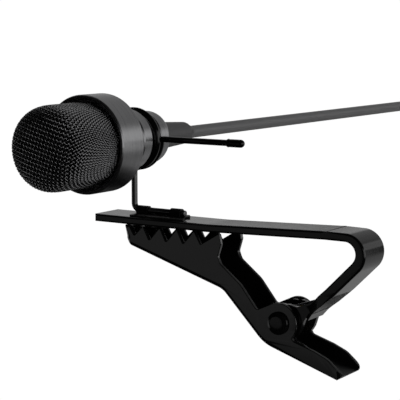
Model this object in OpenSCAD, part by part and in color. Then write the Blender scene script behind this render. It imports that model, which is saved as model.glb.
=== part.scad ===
// Clip-on lavalier microphone: a small wire-mesh condenser microphone held in
// a spring-wire loop on an alligator clip, with its lead and 3.5 mm plug.
// Frame: the origin is where the jaw's teeth meet the underside of the clip
// strip, +X runs along the strip towards its bend, the microphone looks along
// -Y and its lead leaves along +Y, +Z is up. All lengths are in millimetres.

/* [Clip] */
// Width of the clip strip and of the jaw
strip_w = 5.4; // [5.2:0.1:6]
// Thickness of the clip strip
strip_t = 1; // [0.9:0.05:1.1]
// Distance from the strip's free end to the origin
strip_front = 12.2; // [11:0.1:14]
// Wall thickness of the stamped jaw channel
jaw_wall = 0.6; // [0.5:0.05:0.65]
// Number of teeth notches along each jaw wall
notches = 5; // [4:1:5]
// Depth of a tooth notch
notch_depth = 1.5; // [1:0.1:1.6]

/* [Microphone] */
// Outside diameter of the collar behind the grille
collar_d = 12.5; // [12.4:0.1:13]
// Outside diameter of the mesh grille
grille_d = 10.7; // [10.3:0.02:10.76]
// Height of the microphone's axis above the strip's top face
mic_rise = 9.95; // [9:0.05:12]
// Roundness of the grille's front edge: 2 is an ellipse, higher is boxier
front_power = 4.2; // [2.4:0.2:4.6]

/* [Holder] */
// Diameter of the spring wire
wire_d = 0.8; // [0.7:0.05:0.8]
// Length of the release arm from the microphone's axis
arm_len = 16.35; // [14:0.05:18]

/* [Lead] */
// Outside diameter of the cable
cable_d = 1.7; // [1.5:0.05:1.7]
// Mean radius of the tied coil
coil_r = 14; // [13.5:0.5:15]
// Radius of the coil's bundle of turns
bundle_r = 4.3; // [4.2:0.1:4.6]

/* [Hidden] */
$fn = 96;
mic_x = -7.6;                      // axis of the microphone, in X
mic_z = strip_t + mic_rise;        // and in Z
swivel_x = -3.5;                   // swivel rivet, in X
pivot = [15.94, -10.32];           // jaw rivet, in X and Z
lug_r = 2.5;                       // rounded lug of the jaw round its rivet
ear_t = 0.55;                      // thickness of the bow's ears
ear_gap = 0.13;                    // side play between an ear and a jaw wall
jaw_in = strip_w/2 - jaw_wall;     // inner face of a jaw wall
ear_out = jaw_in - ear_gap;        // outer face of an ear
ear_in = ear_out - ear_t;          // inner face of an ear
rivet_r = 0.75;                    // shank of the jaw rivet
tip_r = 0.85;                      // corner radius of the thumb lever
play = 0.04;                       // radial running clearance

bend_c = [24.85, -1.1];            // centre of the bend's outer face
bend_ro = 2.63;                    // and its radius
bend_ci = [24.7, -0.96];           // centre of its inner face
bend_ri = 1.45;                    // and its radius

loop_r = 3.74;                     // centre radius of the wire loop
turn_gap = 0.84;                   // offset between the loop's two layers
arm_lift = 0.06;                   // the arm runs this much above the axis
plate_t = 0.25;                    // holder base plate
foot_z = strip_t + plate_t + 0.006 + wire_d/2;
arm_y = turn_gap;

collar_f = -10.94;                 // collar front, in Y
collar_b = -6.3;                   // collar back
grille_end = -19.7;                // front of the grille
grille_side = -15.5;               // where its straight side ends
mesh_t = 0.28;                     // thickness of the woven mesh
boot_end = 12.7;                   // end of the strain relief

drop_y = 117;                      // where the lead hangs straight down
coil_x = mic_x + 2.6;              // centre of the hanging coil
coil_y = 108;
coil_z = -32;
lead_in = coil_z + coil_r + 2.6;   // height of the coil's outermost turn
tail_y = coil_y - coil_r - bundle_r - cable_d/2 - 0.2;
plug_top = coil_z - 6;             // top of the plug's strain relief

// ---- helpers ----------------------------------------------------------

function unit(v) = v / norm(v);

// Points of an arc in a plane, from angle a0 to a1 in n steps
function arc(c, r, a0, a1, n) =
    [for (i = [0:n]) let (a = a0 + (a1 - a0) * i / n)
        [c[0] + r * cos(a), c[1] + r * sin(a)]];

// A corner of a path at b, between a and c, rounded with radius r
function corner(a, b, c, r, n = 6) =
    let (u = unit(a - b), v = unit(c - b),
         h = acos(u * v) / 2, d = r / tan(h),
         m = b + unit(u + v) * r / sin(h),
         p = b + u * d, q = b + v * d,
         a0 = atan2(p[1] - m[1], p[0] - m[0]),
         a1 = atan2(q[1] - m[1], q[0] - m[0]),
         s = a1 - a0, w = s > 180 ? s - 360 : s < -180 ? s + 360 : s)
    [for (i = [0:n]) let (t = a0 + w * i / n) m + r * [cos(t), sin(t)]];

// Open path through pts, with the radius rad[i] at each inner point
function path(pts, rad) =
    [pts[0], for (i = [1:len(pts) - 2])
        each (rad[i] > 0 ? corner(pts[i-1], pts[i], pts[i+1], rad[i]) : [pts[i]]),
     pts[len(pts) - 1]];

function tangent(p, i) =
    i == 0 ? unit(p[1] - p[0]) :
    i == len(p) - 1 ? unit(p[i] - p[i-1]) :
    unit(unit(p[i+1] - p[i]) + unit(p[i] - p[i-1]));

// A round wire of radius r along the points p; up is never along the wire
module wire(p, r, up, n = 12) {
    m = len(p);
    pts = [for (i = [0:m-1])
        let (t = tangent(p, i), u = unit(cross(t, up)), v = cross(u, t))
        for (k = [0:n-1]) p[i] + r * (cos(360*k/n) * u + sin(360*k/n) * v)];
    faces = concat(
        [[for (k = [n-1:-1:0]) k]],
        [for (i = [0:m-2]) for (k = [0:n-1])
            [i*n + k, i*n + (k+1) % n, (i+1)*n + (k+1) % n, (i+1)*n + k]],
        [[for (k = [0:n-1]) (m-1)*n + k]]);
    polyhedron(points = pts, faces = faces, convexity = 8);
}

// A plate drawn in X and Z, from y0 to y1
module plate_xz(pts, y0, y1) {
    translate([0, y1, 0]) rotate([90, 0, 0]) linear_extrude(y1 - y0) polygon(pts);
}

// A cylinder along Y at x, z, from y0 to y1
module rod_y(x, z, r, y0, y1) {
    translate([x, y0, z]) rotate([-90, 0, 0]) cylinder(h = y1 - y0, r = r);
}

// A turned piece on the microphone's axis: pts are [radius, y]
module turned(pts) {
    translate([mic_x, 0, mic_z]) rotate([-90, 0, 0]) rotate_extrude() polygon(pts);
}

module mic_rod(r, y0, y1) { rod_y(mic_x, mic_z, r, y0, y1); }

// ---- clip -------------------------------------------------------------

function outer_edge() = concat(
    path([[-strip_front, strip_t], [5.4, strip_t], [22, strip_t + 0.56],
          [bend_c[0], bend_c[1] + bend_ro]], [0, 40, 20, 0]),
    arc(bend_c, bend_ro, 86, -44, 22),
    path([[26.66, -3], [23.4, -6.22], [20.3, -8.8], [19.6, -9.7]],
         [0, 12, 4, 0]));

function inner_edge() = concat(
    path([[18.9, -9.1], [19.5, -8.2], [22.3, -5.45], [25.74, -2]],
         [0, 3, 20, 0]),
    arc(bend_ci, bend_ri, -42, 86, 22),
    path([[bend_ci[0], bend_ci[1] + bend_ri], [22, 0.5], [5.4, 0],
          [-strip_front, 0]], [0, 20, 40, 0]));

// One ear of the bow: a flange turned forward from the leg round the rivet
module ear(y0, y1) {
    difference() {
        union() {
            rod_y(pivot[0], pivot[1], 2.3, y0, y1);
            plate_xz(concat(
                path([[20.7, -7.1], [18.2, -8.25], [17, -8], [16.3, -8.1],
                      [15.5, -10.5], [16.8, -12.35], [17.95, -12.15],
                      [18.65, -11.1], [19.05, -9.9]],
                     [0, 1.6, 1, 0, 0, 0.3, 1.5, 0])), y0, y1);
        }
        rod_y(pivot[0], pivot[1], rivet_r, y0 - 1, y1 + 1);
    }
}

module clip_bow() {
    color([0.03, 0.03, 0.032])
    difference() {
        union() {
            difference() {
                plate_xz(concat(outer_edge(), inner_edge()), -strip_w/2, strip_w/2);
                // the leg narrows towards its ears
                for (s = [-1, 1]) translate([0, 0, -12]) linear_extrude(6)
                    polygon([[21.4, s * 2.71], [19.3, s * 1.75], [17, s * 1.4],
                             [17, s * 4], [21.4, s * 4]]);
            }
            ear(ear_in, ear_out);
            ear(-ear_out, -ear_in);
        }
        // hole of the swivel rivet
        translate([swivel_x, 0, -1]) cylinder(h = strip_t + 2, r = 0.9);
        // stamped line across the strip, where its bend begins
        translate([22.4, 0, strip_t + 0.56]) rotate([0, -2, 0])
            cube([0.16, strip_w + 2, 0.16], center = true);
    }
}

// ---- jaw --------------------------------------------------------------

function jaw_under() = path(
    [[-7.4, -0.1], [-7.4, -2.52], [7.62, -7.09], [13.66, -13.26],
     [24.08, -16.36], [24.7, -15.68]], [0, 1.3, 2.6, 4.8, 0.3, 0]);

function jaw_over() = path(
    [[24.7, -15.68], [22.72, -13.98], [20.9, -13.22], [18, -12.35],
     [17.3, -11.2]], [0, 2, 4, 0.4, 0]);

function jaw_neck() = path(
    [[14.6, -8.2], [12.8, -9.05], [10.4, -6.1], [7.5, -3.85],
     [7.12, -2.9], [7.62, -1.25], [7.3, -0.1]], [0, 0.4, 3, 0.9, 0.6, 0.5, 0]);

// Notches: steep in front and sloped behind; the first is smaller, and the
// last has a long back slope
notch_pitch = 2.64;
function notch_x(i) = i == 0 ? -5.75 : -6.02 + notch_pitch * i;
function notch_z(i) = -0.1 - notch_depth * (i == 0 ? 0.72 : 1);
function slope_front(i) = i == 0 ? 0.72 : 0.95;
function slope_back(i) = i == notches-1 ? 2.62 : i == 0 ? 1.3 : 1.58;

function teeth() =
    [for (i = [notches-1:-1:0]) each
        [[notch_x(i) + slope_back(i), -0.1],
         [notch_x(i) + 0.06, notch_z(i)],
         [notch_x(i) - 0.06, notch_z(i)],
         [notch_x(i) - slope_front(i), -0.1]]];

// The same outline, one wall thickness inside the under side
function jaw_cavity() = path(
    [[-7.4 + jaw_wall, 1], [-7.4 + jaw_wall, -2.52 + 1.38*jaw_wall],
     [7.62 + 0.26*jaw_wall, -7.09 + 1.12*jaw_wall],
     [13.66 + 0.28*jaw_wall, -13.26 + 1.14*jaw_wall],
     [25.8, -16.87 + 0.95*jaw_wall], [25.8, 1]], [0, 0.7, 2.2, 4.2, 0, 0]);

module jaw() {
    color([0.028, 0.028, 0.03])
    difference() {
        union() {
            plate_xz(concat(jaw_under(), jaw_over(), jaw_neck(), teeth()),
                     -strip_w/2, strip_w/2);
            rod_y(pivot[0], pivot[1], lug_r, -strip_w/2, strip_w/2);
        }
        plate_xz(jaw_cavity(), -jaw_in, jaw_in);
        rod_y(pivot[0], pivot[1], rivet_r + play, -strip_w, strip_w);
        // rounded corners of the thumb lever
        for (s = [-1, 1]) translate([24.7 - tip_r, s * (strip_w/2 - tip_r), -18])
            difference() {
                translate([0, s > 0 ? 0 : -tip_r - 1, 0]) cube([tip_r + 1, tip_r + 1, 4]);
                translate([0, 0, -1]) cylinder(h = 6, r = tip_r);
            }
    }
}

module jaw_rivet() {
    color([0.035, 0.035, 0.037]) {
        rod_y(pivot[0], pivot[1], rivet_r, -strip_w/2 - 0.06, strip_w/2 + 0.06);
        for (s = [-1, 1])
            translate([pivot[0], s * (strip_w/2 + 0.05), pivot[1]])
                rotate([-90 * s, 0, 0]) rotate_extrude()
                    polygon([[0, 0], [1.44, 0], [1.42, 0.22], [1.28, 0.42],
                             [0.95, 0.5], [0, 0.52]]);
    }
}

module pivot_bush() {
    color([0.55, 0.5, 0.36])
    difference() {
        rod_y(pivot[0], pivot[1], 1.05, -ear_in + 0.03, ear_in - 0.03);
        rod_y(pivot[0], pivot[1], rivet_r + play, -5, 5);
    }
}

spring_d = 0.4;
spring_r = 1.34;
spring_pitch = 0.47;
// One arm lies on the jaw's lever, the other against the bow's leg
function spring_path() =
    let (n = 72, a0 = -100, a1 = 109 - 360 * 5, y0 = -spring_pitch * 2.2)
    concat(
        [[pivot[0] + 4.2, y0, -14]],
        [for (i = [0:n]) let (a = a0 + (a1 - a0) * i / n)
            [pivot[0] + spring_r * cos(a), y0 - spring_pitch * (a - a0) / 360,
             pivot[1] + spring_r * sin(a)]],
        [[20, y0 - spring_pitch * (a1 - a0) / 360, -7.52]]);

module torsion_spring() {
    color([0.5, 0.5, 0.52]) wire(spring_path(), spring_d/2, [0, 1, 0], 8);
}

// ---- holder -----------------------------------------------------------

module swivel_rivet() {
    color([0.05, 0.05, 0.052])
    translate([swivel_x, 0, 0]) rotate_extrude()
        polygon([[0, -0.52], [1.15, -0.52], [1.3, -0.42], [1.3, -0.22], [0.9, -0.22],
                 [0.9, strip_t + 0.13], [1.35, strip_t + 0.13],
                 [1.35, strip_t + 0.246], [0, strip_t + 0.246]]);
}

module swivel_washer() {
    color([0.4, 0.4, 0.42])
    translate([swivel_x, 0, -0.2]) difference() {
        cylinder(h = 0.18, r = 1.75);
        translate([0, 0, -1]) cylinder(h = 2, r = 0.9 + play);
    }
}

// Base plate under the wire's foot, with two tabs closed over the wire
module holder_plate() {
    color([0.03, 0.03, 0.032])
    difference() {
        union() {
            translate([swivel_x, 0, strip_t + 0.01]) linear_extrude(plate_t - 0.01)
                polygon(path([[-3.4, 0], [-3.4, -2.3], [5.2, -2.3], [3.75, 0.3],
                              [4.15, 0.9], [3.7, 1.2], [3.6, 1.75],
                              [-3.4, 1.75], [-3.4, 0]],
                             [0, 0.3, 0.2, 0.2, 0.12, 0.1, 0.3, 0.5, 0]));
            for (x = [[-3.45, 1.72], [1.8, 1.66]])
                translate([swivel_x + x[0], 0, 0]) rotate([90, 0, 90])
                    linear_extrude(x[1])
                    polygon(concat(
                        [[-0.62, strip_t + 0.1]],
                        [[-0.62, foot_z]],
                        arc([0, foot_z], wire_d/2 + 0.18, 180, 0, 16),
                        [[0.62, foot_z], [0.62, strip_t + 0.1]]));
        }
        // seat of the wire in the tabs
        translate([swivel_x - 5, 0, foot_z]) rotate([0, 90, 0])
            cylinder(h = 12, r = wire_d/2 + 0.005);
        // swivel hole and the recess for the rivet's flat head
        translate([swivel_x, 0, strip_t - 1]) cylinder(h = 3, r = 0.9 + play);
        translate([swivel_x, 0, strip_t + 0.12]) cylinder(h = 0.6, r = 1.35 + play);
    }
}

// The wire's foot and stem; the elbow has a radius of 0.85
module holder_wire() {
    e = 0.85;
    color([0.04, 0.04, 0.042]) {
        wire(concat(
            [[swivel_x + 3.9, 0, foot_z]],
            [for (i = [0:8]) let (a = -90 - 90 * i / 8)
                [mic_x + e + e * cos(a), 0, foot_z + e + e * sin(a)]],
            [for (i = [0:5]) let (a = 84 * i / 5, f = 0.5)
                [mic_x + f - f * cos(a), 0, mic_z - loop_r - f + f * sin(a)]],
            [loop_pt(8.6, loop_r)]),
            wire_d/2, [0, 1, 0], 16);
    }
}

// One turn and a little of the same wire round the microphone's neck
loop_end = 330;
function loop_pt(a, r) =        // a counts from six o'clock towards +X
    let (k = a < 200 ? 0 : (a - 200) / 115, s = k > 1 ? 1 : k * k * (3 - 2 * k))
    [mic_x + r * sin(a), turn_gap * s, mic_z - r * cos(a)];

module holder_loop() {
    color([0.04, 0.04, 0.042])
    wire([for (i = [0:46]) loop_pt(8.8 + (loop_end - 8.8) * i / 46, loop_r)],
         wire_d/2, [0, 1, 0], 12);
}

// The wire's last third of a turn, and the arm that is pressed to open it
module release_arm() {
    f = 0.46;
    color([0.04, 0.04, 0.042])
    wire(concat(
        [for (i = [0:17]) let (a = loop_end + 0.4 + (441 - loop_end - 0.4) * i / 17)
            [mic_x + loop_r * sin(a), arm_y, mic_z - loop_r * cos(a)]],
        [for (i = [0:5]) let (b = 90 * i / 5)
            [mic_x + loop_r + f * (1 - cos(b)) - 0.02 * (1 - i / 5), arm_y,
             mic_z + arm_lift - f + f * sin(b)]],
        [[mic_x + arm_len - 0.4, arm_y, mic_z + arm_lift]]),
        wire_d/2, [0, 1, 0], 12);
}

module arm_cap() {
    color([0.04, 0.04, 0.042])
    translate([mic_x + arm_len - 2.4, arm_y, mic_z + arm_lift]) rotate([0, 90, 0])
    difference() {
        rotate_extrude() polygon(concat(
            [[0, 0], [0.42, 0], [0.5, 0.1]],
            arc([0, 1.95], 0.5, 0, 90, 8)));
        translate([0, 0, -1]) cylinder(h = 3.01, r = wire_d/2 + 0.01);
    }
}

// ---- microphone -------------------------------------------------------

// Outline of the grille at a depth d under its surface: [radius, y]
function basket(d, n = 14) =
    [for (i = [0:n]) let (t = 90 * i / n)
        [max((grille_d/2 - d) * pow(max(cos(t), 0), 2 / front_power), 0),
         grille_side - (grille_side - grille_end - d)
             * pow(sin(t), 2 / front_power)]];

module shell(d0, d1, y_back) {
    turned(concat([[grille_d/2 - d0, y_back]], basket(d0),
        [for (i = [14:-1:0]) basket(d1)[i]], [[grille_d/2 - d1, y_back]]));
}

module grille_mesh() { color([0.05, 0.05, 0.052]) shell(0, mesh_t, -9.6); }

module grille_foam() {
    color([0.02, 0.02, 0.02]) shell(mesh_t + 0.03, mesh_t + 0.48, -13);
}

module grille_collar() {
    r = collar_d/2;
    color([0.07, 0.07, 0.072]) turned([
        [r - 0.28, collar_f], [r - 0.08, collar_f + 0.06], [r, collar_f + 0.25],
        [r, collar_b - 0.3], [r - 0.12, collar_b - 0.08], [r - 0.3, collar_b],
        [5.45, collar_b], [5.45, -9.1], [4.78, -9.1], [4.78, -9.55],
        [grille_d/2 + 0.03, -9.55], [grille_d/2 + 0.03, collar_f + 0.55]]);
}

module capsule_case() {
    color([0.6, 0.6, 0.62]) difference() {
        turned([[0, -13.2], [4.3, -13.2], [4.45, -13.05], [4.45, -8.3],
                [4.2, -8.3], [4.2, -12.95], [0, -12.95]]);
        for (a = [0:60:300])
            translate([mic_x + 1.2 * cos(a), 0, mic_z + 1.2 * sin(a)])
                rod_y(0, 0, 0.35, -14, -12);
    }
}

module capsule_diaphragm() {
    color([0.8, 0.72, 0.45]) turned([[0, -12.4], [3.7, -12.4], [3.7, -12.75],
        [4.15, -12.75], [4.15, -12.35], [0, -12.35]]);
}

module capsule_backplate() {
    color([0.7, 0.7, 0.72]) difference() {
        turned([[0, -12.25], [3.9, -12.25], [3.9, -11.65], [0, -11.65]]);
        for (a = [0:90:270])
            translate([mic_x + 2.2 * cos(a), 0, mic_z + 2.2 * sin(a)])
                rod_y(0, 0, 0.3, -13, -11);
    }
}

module capsule_board() {
    color([0.08, 0.25, 0.12]) {
        mic_rod(4.12, -9.2, -8.6);
        translate([mic_x - 0.9, -10.2, mic_z - 0.7]) cube([1.8, 1.02, 1.4]);
    }
}

module capsule_ring() {
    color([0.03, 0.03, 0.03])
    turned([[4.48, -9.9], [4.72, -9.9], [4.72, -7.4], [2.9, -7.4], [2.9, -7.9],
            [4.48, -7.9]]);
}

// Turned rear housing: spigot in the collar, neck with sound slots, and the
// groove that the wire loop grips
module rear_body() {
    color([0.07, 0.07, 0.072]) difference() {
        turned([[4.76, -9.05], [5.41, -9.05], [5.41, collar_b + 0.05],
                [5.85, collar_b + 0.05], [5.7, -5.95], [4.0, -5.2],
                [3.9, -5.0], [3.9, -3.2], [3.94, -3.1], [4.0, -3], [4.0, -1.5],
                [3.92, -1.4], [3.28, -1.4], [3.28, 1.28], [2.95, 1.28],
                [2.95, 2.6], [2.1, 2.6], [2.1, -1.7], [3.45, -2.2],
                [3.45, -5.3], [2.7, -5.6], [2.7, -6.9], [4.76, -7.2]]);
        for (a = [30:60:330])
            translate([mic_x, 0, mic_z]) rotate([0, a, 0])
                translate([0, -4.15, 3.7]) cube([2.4, 1.3, 1.4], center = true);
    }
}

module vent_screen() {
    color([0.03, 0.03, 0.03])
    turned([[3.32, -5.1], [3.42, -5.1], [3.42, -3], [3.32, -3]]);
}

module lead_wires() {
    for (s = [-1, 1]) color(s > 0 ? [0.6, 0.1, 0.08] : [0.9, 0.9, 0.88])
        rod_y(mic_x + 0.42 * s, mic_z, 0.25, -8.55, -2.05);
}

module cable_clamp() {
    color([0.65, 0.6, 0.4])
    turned([[cable_d/2 + 0.02, -1.2], [1.9, -1.2], [1.9, 1], [1.4, 1.2],
            [1.4, 2.4], [cable_d/2 + 0.02, 2.4]]);
}

module cable_end() { color([0.05, 0.05, 0.052]) mic_rod(cable_d/2, -2, boot_end); }

module rear_cap() {
    color([0.07, 0.07, 0.072]) turned([
        [2.98, 1.32], [3.38, 1.32], [3.5, 1.44], [3.5, 2.95], [3.42, 3.2],
        [3.2, 3.36], [2.9, 3.4], [1.95, 3.4], [1.95, 3.2], [2.98, 3.2]]);
}

module cable_boot() {
    color([0.05, 0.05, 0.052]) turned([
        [cable_d/2 + 0.02, 2.65], [2.9, 2.65], [2.9, 3.15], [1.9, 3.15],
        [1.9, 4.6], [1.5, boot_end - 1.3], [1.42, boot_end - 1.05],
        [cable_d/2 + 0.12, boot_end],
        [cable_d/2 + 0.02, boot_end]]);
}

// ---- lead and plug ----------------------------------------------------

// Straight out of the boot, down, and on into the coil's outermost turn
function run_yz() = path(
    [[boot_end + 0.05, mic_z], [drop_y, mic_z], [drop_y, lead_in],
     [coil_y + 1, lead_in]],
    [0, 20, 5, 0]);

module cable_run() {
    p = run_yz();
    q = [for (i = [0:14]) p[0] + (p[1] - p[0]) * i / 15];
    color([0.05, 0.05, 0.052])
        wire([for (v = concat(q, [for (i = [1:len(p)-1]) p[i]])) [mic_x, v[0], v[1]]],
             cable_d/2, [1, 0, 0], 8);
}

module cable_coil() {
    color([0.05, 0.05, 0.052])
    translate([coil_x, coil_y, coil_z]) rotate([0, 90, 0]) rotate_extrude()
        translate([coil_r, 0]) circle(r = bundle_r);
}

// Tie round the bundle, next to where the lead runs into it
module cable_tie() {
    color([0.02, 0.02, 0.02])
    translate([coil_x, coil_y, coil_z]) rotate([18, 0, 0]) translate([0, 0, coil_r])
    rotate([90, 0, 0]) difference() {
        cylinder(h = 6, r = bundle_r + 1.1, center = true);
        cylinder(h = 8, r = bundle_r + 0.5, center = true);
    }
}

module cable_tail() {
    color([0.05, 0.05, 0.052])
    translate([coil_x, tail_y, plug_top + 0.1])
        cylinder(h = coil_z - plug_top - 0.1, r = cable_d/2);
}

// A turned piece of the plug: pts are [radius, distance below the plug's top]
module plug_part(pts) {
    translate([coil_x, tail_y, plug_top]) mirror([0, 0, 1]) rotate_extrude() polygon(pts);
}

module plug_boot() {
    color([0.04, 0.04, 0.042]) plug_part([
        [0, 0], [1.35, 0], [1.5, 0.2], [2.2, 9.4], [2.2, 11.2], [0, 11.2]]);
}

module plug_body() {
    color([0.08, 0.08, 0.085]) plug_part([
        [0, 11.25], [2.25, 11.25], [2.25, 9.8], [3, 9.8], [3.3, 10.1],
        [3.3, 18.4], [3.1, 18.6], [2.5, 18.6], [2.5, 21.2], [2.75, 21.2],
        [2.75, 21.6], [0, 21.6]]);
}

// Knurled collar with an inner thread, free to turn on the body
module lock_ring() {
    color([0.08, 0.08, 0.085]) difference() {
        plug_part([[2.54, 18.7], [3.4, 18.7], [3.6, 18.9], [3.6, 23.2],
                   [3.4, 23.4], [2.95, 23.4], [2.95, 21.1], [2.54, 21.1]]);
        for (a = [0:20:340])
            translate([coil_x, tail_y, plug_top - 22.9]) rotate([0, 0, a])
                translate([3.68, 0, 0]) cylinder(h = 3.6, r = 0.22);
    }
}

module plug_sleeve() {
    color([0.8, 0.78, 0.7]) plug_part([
        [0, 21.62], [2.6, 21.62], [2.6, 22.1], [1.75, 22.1], [1.75, 29.4], [0, 29.4]]);
}

module plug_insulators() {
    color([0.02, 0.02, 0.02]) for (y = [29.4, 32.2])
        plug_part([[0, y], [1.75, y], [1.75, y + 0.7], [0, y + 0.7]]);
}

module plug_ring() {
    color([0.8, 0.78, 0.7]) plug_part([[0, 30.1], [1.75, 30.1], [1.75, 32.2], [0, 32.2]]);
}

module plug_tip() {
    color([0.8, 0.78, 0.7]) plug_part([
        [0, 32.9], [1.75, 32.9], [1.75, 33.5], [1.35, 34.3], [1.3, 34.7],
        [1.65, 35.4], [1.6, 35.8], [0.5, 37], [0, 37.1]]);
}

clip_bow();
jaw();
jaw_rivet();
pivot_bush();
torsion_spring();
swivel_rivet();
swivel_washer();
holder_plate();
holder_wire();
holder_loop();
release_arm();
arm_cap();
grille_mesh();
grille_foam();
grille_collar();
capsule_case();
capsule_diaphragm();
capsule_backplate();
capsule_board();
capsule_ring();
rear_body();
vent_screen();
lead_wires();
cable_clamp();
cable_end();
rear_cap();
cable_boot();
cable_run();
cable_coil();
cable_tie();
cable_tail();
plug_boot();
plug_body();
lock_ring();
plug_sleeve();
plug_insulators();
plug_ring();
plug_tip();
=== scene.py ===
import math

import bmesh
import bpy
import numpy as np
from mathutils import Matrix, Vector
from mathutils.geometry import tessellate_polygon


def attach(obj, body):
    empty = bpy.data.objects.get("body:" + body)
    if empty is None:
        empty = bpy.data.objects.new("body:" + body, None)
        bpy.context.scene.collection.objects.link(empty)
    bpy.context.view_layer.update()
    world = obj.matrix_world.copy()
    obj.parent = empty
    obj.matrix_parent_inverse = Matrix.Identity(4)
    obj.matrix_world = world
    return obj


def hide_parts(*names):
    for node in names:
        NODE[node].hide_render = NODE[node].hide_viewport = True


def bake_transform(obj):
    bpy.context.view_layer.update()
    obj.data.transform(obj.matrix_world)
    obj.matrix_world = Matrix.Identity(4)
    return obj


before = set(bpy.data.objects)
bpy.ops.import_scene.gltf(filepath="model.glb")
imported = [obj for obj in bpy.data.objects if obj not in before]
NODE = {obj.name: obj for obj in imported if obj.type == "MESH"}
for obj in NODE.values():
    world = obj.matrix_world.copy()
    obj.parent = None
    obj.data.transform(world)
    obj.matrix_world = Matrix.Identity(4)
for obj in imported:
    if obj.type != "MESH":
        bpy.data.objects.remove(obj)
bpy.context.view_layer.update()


MM = 0.001
MIC = Vector((-7.6, 0.0, 10.95))        # the microphone's axis
ARM_Y = 0.84                            # the wire's second layer
ARM_Z = MIC.z + 0.06                    # height of the straight arm
LOOP_R = 3.74
WIRE_R = 0.4

# ---- camera ---------------------------------------------------------------

cam_data = bpy.data.cameras.new("camera")
cam = bpy.data.objects.new("camera", cam_data)
bpy.context.scene.collection.objects.link(cam)
cam.location = Vector((98.256, -145.192, 26.486)) * MM
cam.rotation_euler = (math.radians(90 - 7.502), 0.0, math.radians(33.348))
cam_data.lens = 123.64
cam_data.sensor_width = 36
cam_data.clip_start = 0.005
cam_data.clip_end = 20
bpy.context.scene.camera = cam

# ---- small tools ------------------------------------------------------------


def new_object(name, verts, faces, smooth=True):
    """A mesh object from points in millimetres."""
    me = bpy.data.meshes.new(name)
    v = np.asarray(verts, np.float32).reshape(-1, 3) * MM
    me.from_pydata(v.tolist(), [], [tuple(int(i) for i in f) for f in faces])
    me.update()
    if smooth:
        me.polygons.foreach_set("use_smooth", [True] * len(me.polygons))
    o = bpy.data.objects.new(name, me)
    bpy.context.scene.collection.objects.link(o)
    return o


def quads_object(name, verts, quads, ends=()):
    """The same, for many faces: quads is an (n, 4) array, ends a list of longer faces."""
    me = bpy.data.meshes.new(name)
    v = np.asarray(verts, np.float32).reshape(-1, 3) * MM
    q = np.asarray(quads, np.int32).reshape(-1, 4)
    loops = [q.ravel()] + [np.asarray(e, np.int32) for e in ends]
    total = [4] * len(q) + [len(e) for e in ends]
    flat = np.concatenate(loops)
    start = np.concatenate([[0], np.cumsum(total)[:-1]]).astype(np.int32)
    me.vertices.add(len(v))
    me.vertices.foreach_set("co", v.ravel())
    me.loops.add(len(flat))
    me.loops.foreach_set("vertex_index", flat)
    me.polygons.add(len(total))
    me.polygons.foreach_set("loop_start", start)
    me.polygons.foreach_set("loop_total", total)
    me.polygons.foreach_set("use_smooth", [True] * len(total))
    me.update(calc_edges=True)
    me.validate()
    o = bpy.data.objects.new(name, me)
    bpy.context.scene.collection.objects.link(o)
    return o


def mark_sharp(me, degrees):
    """Edges between faces that meet at more than this angle shade as sharp."""
    bm = bmesh.new()
    bm.from_mesh(me)
    limit = math.radians(degrees)
    for e in bm.edges:
        e.smooth = not (len(e.link_faces) == 2 and e.calc_face_angle(0) > limit)
    bm.to_mesh(me)
    bm.free()


def frames(p, up=None):
    """Directions along and across a line of points, carried along it without twist."""
    p = np.asarray(p, float)
    t = np.gradient(p, axis=0)
    t /= np.linalg.norm(t, axis=1, keepdims=True)
    u = np.zeros_like(t)
    a = np.array(up if up is not None else (0, 0, 1), float)
    if abs(t[0] @ a) > 0.9:
        a = np.array((0, 1, 0), float)
    u[0] = np.cross(t[0], a)
    u[0] /= np.linalg.norm(u[0])
    for i in range(1, len(p)):
        w = u[i - 1] - (u[i - 1] @ t[i]) * t[i]
        u[i] = w / np.linalg.norm(w)
    return t, u, np.cross(t, u)


def tube(name, points, radius, sides=24, end_round=0.0):
    """A round wire through points, in millimetres. end_round rounds off its two ends."""
    p = np.asarray(points, float)
    r = np.full(len(p), float(radius)) if np.isscalar(radius) else np.asarray(radius, float)
    if end_round > 0:
        d0 = (p[0] - p[1]) / np.linalg.norm(p[0] - p[1])
        d1 = (p[-1] - p[-2]) / np.linalg.norm(p[-1] - p[-2])
        head = [(p[0] + d0 * end_round * math.sin(a), r[0] - end_round * (1 - math.cos(a)))
                for a in np.radians([90, 60, 30])]
        tail = [(p[-1] + d1 * end_round * math.sin(a), r[-1] - end_round * (1 - math.cos(a)))
                for a in np.radians([30, 60, 90])]
        p = np.vstack([[h[0] for h in head], p, [h[0] for h in tail]])
        r = np.concatenate([[h[1] for h in head], r, [h[1] for h in tail]])
    t, u, v = frames(p)
    a = np.linspace(0, 2 * math.pi, sides, endpoint=False)
    ring = np.cos(a)[None, :, None] * u[:, None, :] + np.sin(a)[None, :, None] * v[:, None, :]
    pts = p[:, None, :] + ring * r[:, None, None]
    m = len(p)
    i, k = np.meshgrid(np.arange(m - 1), np.arange(sides), indexing="ij")
    k1 = (k + 1) % sides
    q = np.stack([i * sides + k, i * sides + k1, (i + 1) * sides + k1, (i + 1) * sides + k], -1)
    ends = [list(range(sides))[::-1], list(range((m - 1) * sides, m * sides))]
    return quads_object(name, pts, q, ends)


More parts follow.
